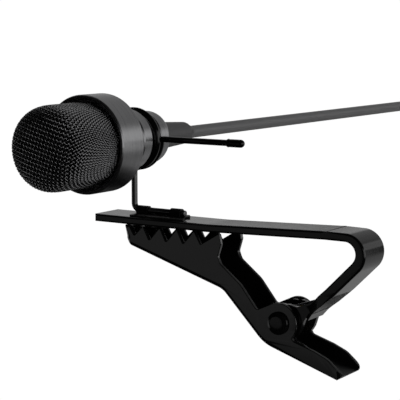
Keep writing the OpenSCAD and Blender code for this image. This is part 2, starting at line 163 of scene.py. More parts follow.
def lathe(name, profile, centre=MIC, axis="Y", segments=128, closed=True, wobble=None):
    """A turned piece: profile is a list of (radius, distance along the axis)."""
    prof = np.asarray(profile, float)
    n = len(prof)
    a = np.linspace(0, 2 * math.pi, segments, endpoint=False)
    ca, sa = np.cos(a), np.sin(a)
    r = prof[:, 0][:, None] * np.ones(segments)
    y = prof[:, 1][:, None] * np.ones(segments)
    if wobble is not None:
        r = r + wobble(prof, a)
    if axis == "Y":
        pts = np.stack([centre[0] + r * ca, centre[1] + y, centre[2] + r * sa], -1)
    else:
        pts = np.stack([centre[0] + r * ca, centre[1] + r * sa, centre[2] + y], -1)
    faces = []
    rows = n if closed else n - 1
    for i in range(rows):
        j = (i + 1) % n
        for k in range(segments):
            k1 = (k + 1) % segments
            faces.append((i * segments + k, i * segments + k1, j * segments + k1, j * segments + k))
    o = new_object(name, pts.reshape(-1, 3), faces)
    bm = bmesh.new()
    bm.from_mesh(o.data)
    bmesh.ops.remove_doubles(bm, verts=bm.verts, dist=2e-6)
    bmesh.ops.recalc_face_normals(bm, faces=bm.faces)
    bm.to_mesh(o.data)
    bm.free()
    return o


def bevelled(node, name, width, segments=2, angle=32, big=None, big_width=0.0, big_segments=5):
    """The CAD node's own shape with its stamped edges broken. big(mid) picks the edges of a bend."""
    me = NODE[node].data.copy()
    me.name = name
    o = bpy.data.objects.new(name, me)
    bpy.context.scene.collection.objects.link(o)
    bm = bmesh.new()
    bm.from_mesh(me)
    bmesh.ops.remove_doubles(bm, verts=bm.verts, dist=1.5e-6)
    bmesh.ops.dissolve_limit(bm, angle_limit=math.radians(1.5), verts=bm.verts, edges=bm.edges)
    limit = math.radians(angle)

    def sharp():
        return [e for e in bm.edges if len(e.link_faces) == 2 and e.calc_face_angle(0) > limit]

    if big is not None:
        chosen = [e for e in sharp() if big((e.verts[0].co + e.verts[1].co) / 2 / MM,
                                            (e.verts[1].co - e.verts[0].co) / MM)]
        bmesh.ops.bevel(bm, geom=chosen, offset=big_width * MM, offset_type="OFFSET",
                        segments=big_segments, profile=0.5, affect="EDGES", clamp_overlap=True)
    bmesh.ops.bevel(bm, geom=sharp(), offset=width * MM, offset_type="OFFSET",
                    segments=segments, profile=0.5, affect="EDGES", clamp_overlap=True)
    bmesh.ops.recalc_face_normals(bm, faces=bm.faces)
    for fa in bm.faces:
        fa.smooth = True
    for e in bm.edges:
        e.smooth = not (len(e.link_faces) == 2 and e.calc_face_angle(0) > math.radians(40))
    bm.to_mesh(me)
    bm.free()
    me.materials.clear()
    mod = o.modifiers.new("normals", "WEIGHTED_NORMAL")
    mod.keep_sharp = True
    mod.weight = 60
    return o


def rounded_walls(node, name, sides, steps=6):
    """The CAD node's own shape with the edges round its flat walls rounded over. sides holds
    (half, out, width): walls at y = +-half that face outwards (1) or inwards (-1), and width(x, z),
    the radius wanted at a point of their outline. It shrinks where the outline leaves less room,
    and to nothing at a hollow edge or where a side already curves away."""
    me = NODE[node].data.copy()
    me.name = name
    o = bpy.data.objects.new(name, me)
    bpy.context.scene.collection.objects.link(o)
    bm = bmesh.new()
    bm.from_mesh(me)
    bmesh.ops.remove_doubles(bm, verts=bm.verts, dist=1.5e-6)
    bmesh.ops.dissolve_degenerate(bm, edges=bm.edges, dist=2e-5)
    bmesh.ops.recalc_face_normals(bm, faces=bm.faces)
    for s, half, out, width in [(s, *q) for q in sides for s in (-1, 1)]:
        bm.normal_update()
        flat = [f for f in bm.faces if f.normal.y * s * out > 0.999
                and abs(f.calc_center_median().y / MM - s * half) < 0.012]
        inside = set(flat)
        rim = {e for e in bm.edges if len(e.link_faces) == 2
               and sum(f in inside for f in e.link_faces) == 1}
        starts = [lp for f in flat for lp in f.loops if lp.edge in rim]
        used, loops = set(), []
        for first in starts:
            if first in used:
                continue
            ring, lp = [], first
            while lp not in used:
                used.add(lp)
                ring.append((lp.vert, lp.edge))
                lp = lp.link_loop_next
                for _ in range(500):
                    if lp.edge in rim:
                        break
                    lp = lp.link_loop_radial_next.link_loop_next
            loops.append(ring)

        def area(ring):
            q = [(v.co.x / MM, v.co.z / MM) for v, _ in ring]
            return sum(a[0] * b[1] - b[0] * a[1] for a, b in zip(q, q[1:] + q[:1])) / 2

        loops.sort(key=lambda r: -abs(area(r)))
        outer, edges = [v for v, _ in loops[0]], [e for _, e in loops[0]]
        turn = 1 if area(loops[0]) > 0 else -1
        holes = [[v for v, _ in r] for r in loops[1:] if area(r) * turn < 0]
        # only the faces that hang together with the largest outline
        wall, todo = set(), [f for f in edges[0].link_faces if f in inside]
        while todo:
            f = todo.pop()
            wall.add(f)
            todo += [g for e in f.edges for g in e.link_faces if g in inside and g not in wall]
        flat = list(wall)
        p = np.array([(v.co.x / MM, v.co.z / MM) for v in outer])
        n = len(p)
        d = np.roll(p, -1, 0) - p
        length = np.linalg.norm(d, axis=1)
        d /= length[:, None]
        inward = turn * np.stack([-d[:, 1], d[:, 0]], -1)
        before = np.roll(inward, 1, 0)
        mid = inward + before
        mid /= np.linalg.norm(mid, axis=1, keepdims=True)
        cosine = (mid * inward).sum(1).clip(0.55, 1)
        dprev = np.roll(d, 1, 0)
        bendy = turn * np.arctan2(dprev[:, 0] * d[:, 1] - dprev[:, 1] * d[:, 0], (dprev * d).sum(1))
        w = np.array([width(x, z) for x, z in p])
        # no more than the room along each edge
        need = np.tan(bendy / 2)
        for i in range(n):
            j = (i + 1) % n
            room = need[i] + need[j]
            if room > 1e-3:
                cap_w = 0.8 * length[i] / room
                w[i], w[j] = min(w[i], cap_w), min(w[j], cap_w)
            e = edges[i]
            other = [f for f in e.link_faces if f not in inside][0]
            if abs(other.normal.y) > 0.05 or not e.is_convex:
                w[i] = w[j] = 0.0
        for _ in range(2):
            for i in list(range(n)) * 2:
                j = (i + 1) % n
                w[j] = min(w[j], w[i] + 0.45 * length[i])
            for i in list(range(n - 1, -1, -1)) * 2:
                j = (i + 1) % n
                w[i] = min(w[i], w[j] + 0.45 * length[i])
        w = np.maximum(w, 0.012)
        print(name, s, half, "radius", round(float(np.median(w)), 3), "narrow", int((w < 0.1).sum()), "of", n)
        bmesh.ops.delete(bm, geom=flat, context="FACES_ONLY")
        inner_edges = [e for e in bm.edges if not e.link_faces]
        bmesh.ops.delete(bm, geom=inner_edges, context="EDGES")
        rings = [outer]
        for v, wi in zip(outer, w):
            v.co.y = s * (half - out * wi) * MM
        for k in range(1, steps + 1):
            a = math.radians(90 * k / steps)
            q = p + mid * (w * (1 - math.cos(a)) / cosine)[:, None]
            y = s * (half - out * w * (1 - math.sin(a)))
            rings.append([bm.verts.new((q[i, 0] * MM, y[i] * MM, q[i, 1] * MM)) for i in range(n)])
        for a, b in zip(rings, rings[1:]):
            for i in range(n):
                j = (i + 1) % n
                f = bm.faces.new((a[i], a[j], b[j], b[i]))
                f.smooth = True
        polys = [[Vector((v.co.x / MM, v.co.z / MM, 0)) for v in rings[-1]]]
        flatv = list(rings[-1])
        for h in holes:
            polys.append([Vector((v.co.x / MM, v.co.z / MM, 0)) for v in h])
            flatv += h
        for tri in tessellate_polygon(polys):
            vs = [flatv[i] for i in tri]
            if len(set(vs)) == 3 and bm.faces.get(vs) is None:
                bm.faces.new(vs)
    bmesh.ops.remove_doubles(bm, verts=bm.verts, dist=5e-7)
    bmesh.ops.dissolve_degenerate(bm, edges=bm.edges, dist=5e-7)
    bmesh.ops.recalc_face_normals(bm, faces=bm.faces)
    open_edges = sum(1 for e in bm.edges if len(e.link_faces) != 2)
    print(name, "faces", len(bm.faces), "open edges", open_edges)
    for f in bm.faces:
        f.smooth = True
    for e in bm.edges:
        e.smooth = not (len(e.link_faces) == 2 and e.calc_face_angle(0) > math.radians(32))
    bm.to_mesh(me)
    bm.free()
    me.materials.clear()
    mod = o.modifiers.new("normals", "WEIGHTED_NORMAL")
    mod.keep_sharp = True
    mod.weight = 60
    return o


# ---- materials --------------------------------------------------------------


class Nodes:
    """Short way to wire a material or world."""

    def __init__(self, tree):
        self.t = tree
        self.x = 0

    def new(self, kind, **props):
        n = self.t.nodes.new(kind)
        self.x += 180
        n.location = (self.x, 0)
        for k, v in props.items():
            setattr(n, k, v)
        return n

    def link(self, a, b):
        self.t.links.new(a, b)

    def math(self, op, a, b=None, clamp=False):
        n = self.new("ShaderNodeMath", operation=op, use_clamp=clamp)
        for i, v in enumerate((a, b)):
            if v is None:
                continue
            if isinstance(v, (int, float)):
                n.inputs[i].default_value = v
            else:
                self.link(v, n.inputs[i])
        return n.outputs[0]

    def ramp(self, value, stops):
        n = self.new("ShaderNodeValToRGB")
        e = n.color_ramp.elements
        while len(e) < len(stops):
            e.new(0.5)
        for el, (pos, col) in zip(e, stops):
            el.position = pos
            el.color = (*col, 1) if len(col) == 3 else col
        self.link(value, n.inputs[0])
        return n.outputs[0]

    def map_range(self, value, a, b, c, d, smooth=False):
        n = self.new("ShaderNodeMapRange")
        if smooth:
            n.interpolation_type = "SMOOTHSTEP"
        for i, v in zip((1, 2, 3, 4), (a, b, c, d)):
            n.inputs[i].default_value = v
        self.link(value, n.inputs[0])
        return n.outputs[0]

    def noise(self, coord, scale, detail=3.0, rough=0.5, stretch=(1, 1, 1), dims="3D"):
        m = self.new("ShaderNodeMapping")
        m.inputs["Scale"].default_value = stretch
        self.link(coord, m.inputs["Vector"])
        n = self.new("ShaderNodeTexNoise", noise_dimensions=dims)
        n.inputs["Scale"].default_value = scale
        n.inputs["Detail"].default_value = detail
        n.inputs["Roughness"].default_value = rough
        self.link(m.outputs[0], n.inputs["Vector"])
        return n.outputs[0]


def grey(v):
    return (v, v, v * 1.02)


def material(name, low, high, rough=(0.3, 0.4), metallic=0.0, ior=1.5, spec=0.5,
             grain=2500.0, stretch=(1, 1, 1), bump_scale=9000.0, bump_stretch=(1, 1, 1),
             bump=0.05, bump_depth=0.00002, coat=0.0, coat_rough=0.1, wear=None):
    """Paint, metal or rubber with a cloudy colour, a varying gloss and a fine surface grain."""
    m = bpy.data.materials.new(name)
    m.use_nodes = True
    t = m.node_tree
    t.nodes.clear()
    w = Nodes(t)
    out = w.new("ShaderNodeOutputMaterial")
    b = w.new("ShaderNodeBsdfPrincipled")
    w.link(b.outputs[0], out.inputs["Surface"])
    b.inputs["Metallic"].default_value = metallic
    b.inputs["IOR"].default_value = ior
    b.inputs["Specular IOR Level"].default_value = spec
    b.inputs["Coat Weight"].default_value = coat
    b.inputs["Coat Roughness"].default_value = coat_rough
    co = w.new("ShaderNodeTexCoord").outputs["Object"]
    cloud = w.noise(co, grain, 4, 0.6, stretch)
    col = w.ramp(cloud, [(0.3, low), (0.7, high)])
    fine = w.noise(co, bump_scale, 2, 0.5, bump_stretch)
    r = w.map_range(w.math("ADD", w.math("MULTIPLY", cloud, 0.5), w.math("MULTIPLY", fine, 0.5)),
                    0.35, 0.65, rough[0], rough[1])
    if wear is not None:
        # rubbed, paler spots
        spot = w.noise(co, wear[0], 5, 0.75)
        mask = w.map_range(spot, wear[1], wear[1] + 0.04, 0, wear[2])
        mix = w.new("ShaderNodeMix", data_type="RGBA")
        w.link(mask, mix.inputs[0])
        w.link(col, mix.inputs[6])
        mix.inputs[7].default_value = (*wear[3], 1)
        col = mix.outputs[2]
    w.link(col, b.inputs["Base Color"])
    w.link(r, b.inputs["Roughness"])
    bp = w.new("ShaderNodeBump")
    bp.inputs["Strength"].default_value = bump
    bp.inputs["Distance"].default_value = bump_depth
    w.link(fine, bp.inputs["Height"])
    w.link(bp.outputs[0], b.inputs["Normal"])
    return m


lacquer = material("black_lacquer", grey(0.0075), grey(0.011), rough=(0.10, 0.17), ior=1.5,
                   grain=900, bump_scale=5200, bump=0.05, bump_depth=0.00001)
jaw_lacquer = material("black_lacquer_jaw", grey(0.004), grey(0.007), rough=(0.10, 0.17), ior=1.8,
                       grain=900, bump_scale=5200, bump=0.05, bump_depth=0.00001)
plate_black = material("matt_black_plate", grey(0.003), grey(0.006), rough=(0.3, 0.42), spec=0.22,
                       grain=1400, bump_scale=7000, bump=0.06, bump_depth=0.00001)
wire_mat = material("black_nickel_wire", grey(0.004), grey(0.008), rough=(0.1, 0.16), ior=1.8,
                    grain=1500, bump_scale=9000, bump=0.04, bump_depth=0.000006)
# painted shade: a darker, less glossy copy of the stem's wire finish, for the loop and the arm (the same wire
# as the stem, where it lies in shadow) and for the cap on the arm
wire_shade_copy = material("black_wire_painted_shade", grey(0.003), grey(0.005), rough=(0.1, 0.17), ior=1.5,
                     grain=1500, bump_scale=9000, bump=0.04, bump_depth=0.000006)
turned_metal = material("turned_black_metal", grey(0.25), grey(0.34), rough=(0.26, 0.36),
                        metallic=1.0, grain=9000, stretch=(0.02, 1, 0.02),
                        bump_scale=26000, bump_stretch=(0.01, 1, 0.01), bump=0.12,
                        bump_depth=0.000006)
mesh_mat = material("black_mesh_wire", grey(0.3), grey(0.36), rough=(0.1, 0.15), metallic=1.0,
                    grain=2600, bump_scale=16000, bump=0.1, bump_depth=0.000006)
foam_mat = material("open_foam", grey(0.004), grey(0.009), rough=(0.9, 1.0), spec=0.1,
                    grain=6000, bump_scale=9000, bump=0.8, bump_depth=0.00006)
rubber = material("black_rubber", grey(0.105), grey(0.128), rough=(0.42, 0.52), spec=0.5,
                  grain=2400, bump_scale=12000, bump=0.12, bump_depth=0.00001)
pvc = material("cable_jacket", grey(0.2), grey(0.235), rough=(0.36, 0.44), spec=0.5,
               grain=1200, stretch=(1, 0.15, 1), bump_scale=9000, bump=0.1, bump_depth=0.00001)
dull_washer = material("dull_plated_steel", grey(0.3), grey(0.42), rough=(0.3, 0.42), metallic=1.0,
                       grain=5000, bump_scale=15000, bump=0.1, bump_depth=0.00001)
spring_steel = material("spring_steel", grey(0.34), grey(0.46), rough=(0.22, 0.3), metallic=1.0,
                        grain=4000, bump_scale=15000, bump=0.08, bump_depth=0.00001)
brass = material("brass", (0.42, 0.33, 0.16), (0.55, 0.44, 0.22), rough=(0.25, 0.35), metallic=1.0,
                 grain=5000, bump_scale=15000, bump=0.08, bump_depth=0.00001)
capsule_metal = material("capsule_metal", grey(0.5), grey(0.62), rough=(0.25, 0.35), metallic=1.0,
                         grain=5000, stretch=(1, 0.05, 1), bump_scale=20000, bump=0.08,
                         bump_depth=0.00001)
gold = material("gold_film", (0.72, 0.55, 0.22), (0.85, 0.66, 0.3), rough=(0.15, 0.22), metallic=1.0,
                grain=3000, bump_scale=9000, bump=0.05, bump_depth=0.00001)
board_green = material("board_green", (0.02, 0.12, 0.045), (0.03, 0.17, 0.07), rough=(0.3, 0.42),
                       grain=3500, bump_scale=14000, bump=0.1, bump_depth=0.00001)
core_mat = material("core_insulation", (0.42, 0.03, 0.025), (0.55, 0.05, 0.04), rough=(0.35, 0.45),
                    grain=3500, bump_scale=14000, bump=0.08, bump_depth=0.00001)
plug_black = material("plug_black_metal", grey(0.1), grey(0.14), rough=(0.3, 0.4), metallic=1.0,
                      grain=8000, stretch=(0.03, 0.03, 1), bump_scale=20000,
                      bump_stretch=(0.02, 0.02, 1), bump=0.1, bump_depth=0.000008)
contact = material("contact_metal", (0.6, 0.58, 0.52), (0.72, 0.7, 0.64), rough=(0.12, 0.22),
                   metallic=1.0, grain=6000, stretch=(0.05, 0.05, 1), bump_scale=18000,
                   bump=0.05, bump_depth=0.00001)
insulator = material("insulator_black", grey(0.012), grey(0.02), rough=(0.35, 0.45),
                     grain=4000, bump_scale=14000, bump=0.08, bump_depth=0.00001)


def strap_material():
    """Woven strap: fine ribs across and along, with a soft fuzz."""
    m = bpy.data.materials.new("woven_strap")
    m.use_nodes = True
    t = m.node_tree
    t.nodes.clear()
    w = Nodes(t)
    out = w.new("ShaderNodeOutputMaterial")
    b = w.new("ShaderNodeBsdfPrincipled")
    w.link(b.outputs[0], out.inputs["Surface"])
    b.inputs["Sheen Weight"].default_value = 0.25
    b.inputs["Sheen Roughness"].default_value = 0.5
    b.inputs["Specular IOR Level"].default_value = 0.2
    co = w.new("ShaderNodeTexCoord").outputs["Object"]
    hairs = w.noise(co, 5200, 4, 0.7)
    weave = w.noise(co, 2600, 2, 0.5, (1, 1, 1))
    mix = w.math("ADD", w.math("MULTIPLY", hairs, 0.6), w.math("MULTIPLY", weave, 0.4))
    w.link(w.ramp(mix, [(0.35, grey(0.006)), (0.7, grey(0.022))]), b.inputs["Base Color"])
    w.link(w.map_range(mix, 0.3, 0.7, 0.75, 0.95), b.inputs["Roughness"])
    bp = w.new("ShaderNodeBump")
    bp.inputs["Strength"].default_value = 0.6
    bp.inputs["Distance"].default_value = 0.00008
    w.link(hairs, bp.inputs["Height"])
    w.link(bp.outputs[0], b.inputs["Normal"])
    return m


strap_mat = strap_material()


def paint(obj, mat):
    obj.data.materials.clear()
    obj.data.materials.append(mat)


def paint_node(name, mat):
    for s in NODE[name].material_slots:
        s.material = mat


# ---- the lead: one cord from the strain relief to the plug --------------------

CABLE_R = 0.85
COIL = Vector((-5.0, 108.0, -32.0))     # centre of the coil, whose axis is X
COIL_R = 14.0
STEP = 5.2 / 3                          # distance between neighbouring turns


def bend(a, b, c, r, n):
    """Points of the rounded corner at b."""
    a, b, c = (np.asarray(v, float) for v in (a, b, c))
    u, v = (a - b) / np.linalg.norm(a - b), (c - b) / np.linalg.norm(c - b)
    h = math.acos(np.clip(u @ v, -1, 1)) / 2
    m = b + (u + v) / np.linalg.norm(u + v) * r / math.sin(h)
    p, q = b + u * r / math.tan(h) - m, b + v * r / math.tan(h) - m
    w = math.pi - 2 * h
    return [m + (math.sin(w * (1 - i / n)) * p + math.sin(w * i / n) * q) / math.sin(w)
            for i in range(n + 1)]


def turn_places():
    """Where each turn lies in the bundle: (along X, outwards), in layers of four."""
    cols = [-2.6 + STEP * i for i in range(4)]
    out = []
    for c, x in enumerate(cols):
        rows = [2.6 - STEP * i for i in range(4)]
        out += [(x, r) for r in (rows if c % 2 == 0 else rows[::-1])]
    return out + [(2.6 - STEP / 2, 2.6 + STEP * 0.87)]


PLACES = turn_places()
SHIFT = 36.0                            # a turn moves over to the next place along this angle


def ease(s):
    return 0.5 - 0.5 * math.cos(math.pi * min(max(s, 0), 1))


def coil_point(x, out, angle):
    r = COIL_R + out
    a = math.radians(angle)
    return (COIL.x + x, COIL.y - r * math.sin(a), COIL.z + r * math.cos(a))


def cord_points():
    top = COIL.z + COIL_R + 2.6
    x = MIC.x
    a, b, c, d = (x, 12.7, 10.95), (x, 117.0, 10.95), (x, 117.0, top), (x, 108.0, top)
    pts = [(x, 12.7 + 84.3 * i / 9, 10.95) for i in range(9)]
    pts += bend(a, b, c, 20, 12)
    pts += bend(b, c, d, 5, 8)
    pts += [(x, 110.0, top)]
    n = 48
    for j in range(16):
        start = 97 + 15 * (15 - j)
        for i in range(n):
            t = 360 * i / n
            s = ease((t - start) / SHIFT)
            p, q = PLACES[j], PLACES[j + 1]
            pts.append(coil_point(p[0] + (q[0] - p[0]) * s, p[1] + (q[1] - p[1]) * s, t))
    p = PLACES[16]
    for i in range(12):
        t = 90 * i / 12
        s = ease((t - 34) / 54)
        pts.append(coil_point(p[0] * (1 - s), p[1] + (5.35 - p[1]) * s, t))
    x, y, z = coil_point(0, 5.35, 90)
    pts += [(x, y, z - 1.5 * i) for i in range(4)] + [(x, y, -38.4)]
    return pts


def make_cord():
    pts = cord_points()
    cu = bpy.data.curves.new("lead", "CURVE")
    cu.dimensions = "3D"
    sp = cu.splines.new("POLY")
    sp.points.add(len(pts) - 1)
    for q, p in zip(sp.points, pts):
        q.co = (*(np.asarray(p) * MM), 1)
    sp.use_smooth = True
    cu.bevel_depth = CABLE_R * MM
    cu.bevel_resolution = 5
    cu.use_fill_caps = True
    cu.materials.append(pvc)
    o = bpy.data.objects.new("lead", cu)
    bpy.context.scene.collection.objects.link(o)
    return o, pts


lead, LEAD_PTS = make_cord()


def make_tie():
    """Strap round the bundle: it follows the outer turns, and its end lies over itself."""
    places = PLACES[:16] + [PLACES[16]]
    gap = CABLE_R + 0.12
    ring = []
    for b in np.radians(np.arange(0, 360, 3)):
        d = np.array((math.cos(b), math.sin(b)))
        ring.append(max(np.asarray(p) @ d for p in places) + gap)
    ring = np.array(ring)
    # boundary of the round-cornered hull, from its support distances
    b = np.radians(np.arange(0, 360, 3))
    db = np.gradient(np.concatenate([ring[-2:], ring, ring[:2]]), b[1] - b[0])[2:-2]
    hull = np.stack([ring * np.cos(b) - db * np.sin(b), ring * np.sin(b) + db * np.cos(b)], -1)
    keep = [hull[0]]
    for p in hull[1:]:
        if np.linalg.norm(p - keep[-1]) > 0.05:
            keep.append(p)
    hull = np.array(keep)
    seg = np.linalg.norm(np.diff(np.vstack([hull, hull[:1]]), axis=0), axis=1)
    s = np.concatenate([[0], np.cumsum(seg)])
    total = s[-1]
    closed = np.vstack([hull, hull[:1]])

    def at(d):
        d = d % total
        return np.array((np.interp(d, s, closed[:, 0]), np.interp(d, s, closed[:, 1])))

    thick, half, over = 0.5, 3.0, 5.0
    n = 150
    length = total + over
    rows = []
    for i in range(n + 1):
        d = length * i / n
        p = at(d)
        t = at(d + 0.15) - at(d - 0.15)
        t /= np.linalg.norm(t)
        nrm = np.array((t[1], -t[0]))
        lift = (thick + 0.03) * ease((d - total + 2.5) / 2.5)
        rows.append((p, nrm, lift))
    section = []
    for w, h in ((-1, 0.12), (-1, 0.88), (-0.96, 1.0), (-0.5, 1.03), (0, 1.04), (0.5, 1.03),
                 (0.96, 1.0), (1, 0.88), (1, 0.12), (0.96, 0.0), (0, 0.0), (-0.96, 0.0)):
        section.append((w * half, h * thick))
    verts = []
    for i, (p, nrm, lift) in enumerate(rows):
        narrow = 1.0 if i < n - 4 else 1 - 0.12 * (i - n + 4) / 4
        for w, h in section:
            q = p + nrm * (h + lift)
            verts.append(coil_point(q[0], q[1], 18 + math.degrees(w * narrow / (COIL_R + q[1]))))
    m = len(section)
    faces = []
    for i in range(n):
        for k in range(m):
            k1 = (k + 1) % m
            faces.append((i * m + k, i * m + k1, (i + 1) * m + k1, (i + 1) * m + k))
    faces += [tuple(range(m)), tuple(range(n * m, (n + 1) * m))[::-1]]
    o = new_object("cable_strap", verts, faces)
    bm = bmesh.new()
    bm.from_mesh(o.data)
    bmesh.ops.recalc_face_normals(bm, faces=bm.faces)
    bm.to_mesh(o.data)
    bm.free()
    mark_sharp(o.data, 50)
    paint(o, strap_mat)
    return o


tie = make_tie()
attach(tie, "wire_holder")
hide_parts("cable_tie")

# Strain relief of the plug, with its rings
PLUG = Vector((-5.0, 88.65, -38.0))


def ribbed_boot():
    prof = [(0.9, 0.0), (1.3, 0.0), (1.42, 0.12)]
    for i in range(6):
        d0 = 0.9 + 1.3 * i
        r0 = 1.5 + 0.7 * d0 / 9.4
        prof += [(r0, d0), (r0, d0 + 0.08), (r0 - 0.3, d0 + 0.2), (r0 - 0.3, d0 + 0.5),
                 (r0 + 0.03, d0 + 0.62), (r0 + 0.05, d0 + 0.75)]
    prof += [(2.2, 9.4), (2.24, 9.6), (2.24, 11.1), (2.1, 11.2), (0.9, 11.2)]
    o = lathe("plug_relief", [(r, -d) for r, d in prof], PLUG, "Z", 64)
    mark_sharp(o.data, 38)
    paint(o, rubber)
    return o


plug_relief = ribbed_boot()
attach(plug_relief, "wire_holder")
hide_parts("plug_boot")

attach(lead, "wire_holder")
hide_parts("cable_run", "cable_coil", "cable_tail")

# ---- clip ----------------------------------------------------------------------

bow = rounded_walls("clip_bow", "bow", [(2.7, 1, lambda x, z: 0.26)])
paint(bow, lacquer)
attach(bow, "clip_frame")
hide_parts("clip_bow")

UNDER = [(-7.4, -0.1), (-7.4, -2.52), (7.62, -7.09), (13.66, -13.26), (24.08, -16.36)]


def jaw_edge(x, z):
    """Radius of the jaw's outer edges: the sheet's own bend below, worn and pressed elsewhere."""
    best = 9.0
    for (x0, z0), (x1, z1) in zip(UNDER, UNDER[1:]):
        dx, dz = x1 - x0, z1 - z0
        t = min(max(((x - x0) * dx + (z - z0) * dz) / (dx * dx + dz * dz), 0), 1)
        best = min(best, math.hypot(x - x0 - t * dx, z - z0 - t * dz))
    if x < -6.6:
        return 1.1
    if best < 0.75:
        return 0.66
    return 0.08 if x > 2.2 else 0.22


jaw = rounded_walls("jaw", "jaw_channel", [(2.7, 1, jaw_edge), (2.1, -1, lambda x, z: 0.2)])
paint(jaw, jaw_lacquer)
# painted shade: the edges of the walls round the window that face up and to the right get the darker, duller
# plate material; this is partly the sheared edges' own duller finish and partly shade drawn in so they catch
# no highlight
jaw.data.materials.append(plate_black)
for f in jaw.data.polygons:
    if abs(f.normal.y) < 0.9 and f.normal.z > 0.3 and f.normal.x > 0.1 and f.center.x > 2.2 * MM:
        f.material_index = 1
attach(jaw, "jaw_lever")
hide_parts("jaw")


def rivet():
    """Shank and two domed heads."""
    half = []
    half += [(0.75, 0.0), (0.75, 2.72), (1.38, 2.72), (1.43, 2.76), (1.42, 2.92)]
    half += [(1.42 - 0.16 * (1 - math.cos(a)), 2.92 + 0.16 * math.sin(a))
             for a in np.radians([20, 40, 60, 80])]
    half += [(1.12, 3.16), (1.02, 3.21), (0.94, 3.235), (0.84, 3.25), (0.5, 3.262), (0.0, 3.268)]
    prof = [(r, -y) for r, y in reversed(half)] + half[1:]
    o = lathe("pivot_rivet", prof, Vector((15.94, 0, -10.32)), "Y", 72, closed=False)
    mark_sharp(o.data, 50)
    paint(o, lacquer)
    return o


riv = rivet()
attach(riv, "clip_frame")
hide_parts("jaw_rivet")


def spring():
    px, pz, r, pitch = 15.94, -10.32, 1.34, 0.47
    n, a0, a1, y0 = 300, -100.0, 109.0 - 1800.0, -0.47 * 2.2
    coil = [(px + r * math.cos(math.radians(a0 + (a1 - a0) * i / n)),
             y0 - pitch * (a1 - a0) * i / n / 360,
             pz + r * math.sin(math.radians(a0 + (a1 - a0) * i / n))) for i in range(n + 1)]
    p0, p1 = np.array((px + 4.2, y0, -14.0)), np.array(coil[0])
    q0, q1 = np.array(coil[-1]), np.array((20.0, y0 - pitch * (a1 - a0) / 360, -7.52))
    pts = [tuple(p0 + (p1 - p0) * i / 8) for i in range(8)] + coil + \
          [tuple(q0 + (q1 - q0) * i / 8) for i in range(1, 9)]
    o = tube("closing_spring", pts, 0.2, 12, 0.05)
    paint(o, spring_steel)
    return o


spr = spring()
# the coil unwinds between the leg on the bow (+Y end) and the leg on the lever (-Y end)
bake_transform(spr)
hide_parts("torsion_spring")

# ---- wire holder ---------------------------------------------------------------

plate = bevelled("holder_plate", "crimp_plate", 0.035, 2)
paint(plate, plate_black)
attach(plate, "wire_holder")
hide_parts("holder_plate")


def loop_pt(a, r=LOOP_R):
    k = 0 if a < 200 else (a - 200) / 115
    s = 1 if k > 1 else k * k * (3 - 2 * k)
    return (MIC.x + r * math.sin(math.radians(a)), ARM_Y * s, MIC.z - r * math.cos(math.radians(a)))


FOOT_Z = 1.0 + 0.25 + 0.006 + 0.4


def stem():
    e, f = 0.85, 0.5
    pts = [(0.4 - i * 0.9, 0, FOOT_Z) for i in range(7)]
    pts += [(MIC.x + e + e * math.cos(math.radians(-90 - 90 * i / 16)), 0,
             FOOT_Z + e + e * math.sin(math.radians(-90 - 90 * i / 16))) for i in range(17)]
    z0, z1 = pts[-1][2], MIC.z - LOOP_R - f
    pts += [(MIC.x, 0, z0 + (z1 - z0) * i / 5) for i in range(1, 5)]
    pts += [(MIC.x + f - f * math.cos(math.radians(84 * i / 10)), 0,
             z1 + f * math.sin(math.radians(84 * i / 10))) for i in range(11)]
    pts += [loop_pt(8.9)]
    o = tube("wire_stem", pts, WIRE_R, 28, 0.06)
    paint(o, wire_mat)
    return o


st = stem()
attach(st, "wire_holder")
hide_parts("holder_wire")

pts = [loop_pt(8.2 + (330 - 8.2) * i / 160) for i in range(161)]
rad = [WIRE_R if 8.2 + (330 - 8.2) * i / 160 < 312 else WIRE_R - 0.006 for i in range(161)]
lp = tube("wire_loop", pts, rad, 28)
# the loop takes the darker copy of the wire's finish: painted shade
paint(lp, wire_shade_copy)
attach(lp, "wire_holder")
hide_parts("holder_loop")


def arm():
    f = 0.46
    pts = [(MIC.x + LOOP_R * math.sin(math.radians(330.2 + (441 - 330.2) * i / 60)), ARM_Y,
            MIC.z - LOOP_R * math.cos(math.radians(330.2 + (441 - 330.2) * i / 60)))
           for i in range(61)]
    pts += [(MIC.x + LOOP_R + f * (1 - math.cos(math.radians(9 * i))) - 0.02 * (1 - i / 10), ARM_Y,
             ARM_Z - f + f * math.sin(math.radians(9 * i))) for i in range(0, 11)]
    # the corner out of the loop is eased by a few passes of averaging
    p = np.array(pts)
    x1 = MIC.x + 16.35 - 0.4
    p = np.vstack([p, [[p[-1][0] + (x1 - p[-1][0]) * i / 20, ARM_Y, ARM_Z] for i in range(1, 21)]])
    d = np.concatenate([[0], np.cumsum(np.linalg.norm(np.diff(p, axis=0), axis=1))])
    t = np.linspace(0, d[-1], 240)
    p = np.stack([np.interp(t, d, p[:, k]) for k in range(3)], -1)
    for _ in range(3):
        p[1:-1] = 0.25 * p[:-2] + 0.5 * p[1:-1] + 0.25 * p[2:]
    o = tube("release_wire", p, WIRE_R, 28, 0.06)
    # the arm takes the darker copy of the wire's finish: painted shade
    paint(o, wire_shade_copy)
    return o


ar = arm()
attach(ar, "press_arm")
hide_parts("release_arm")

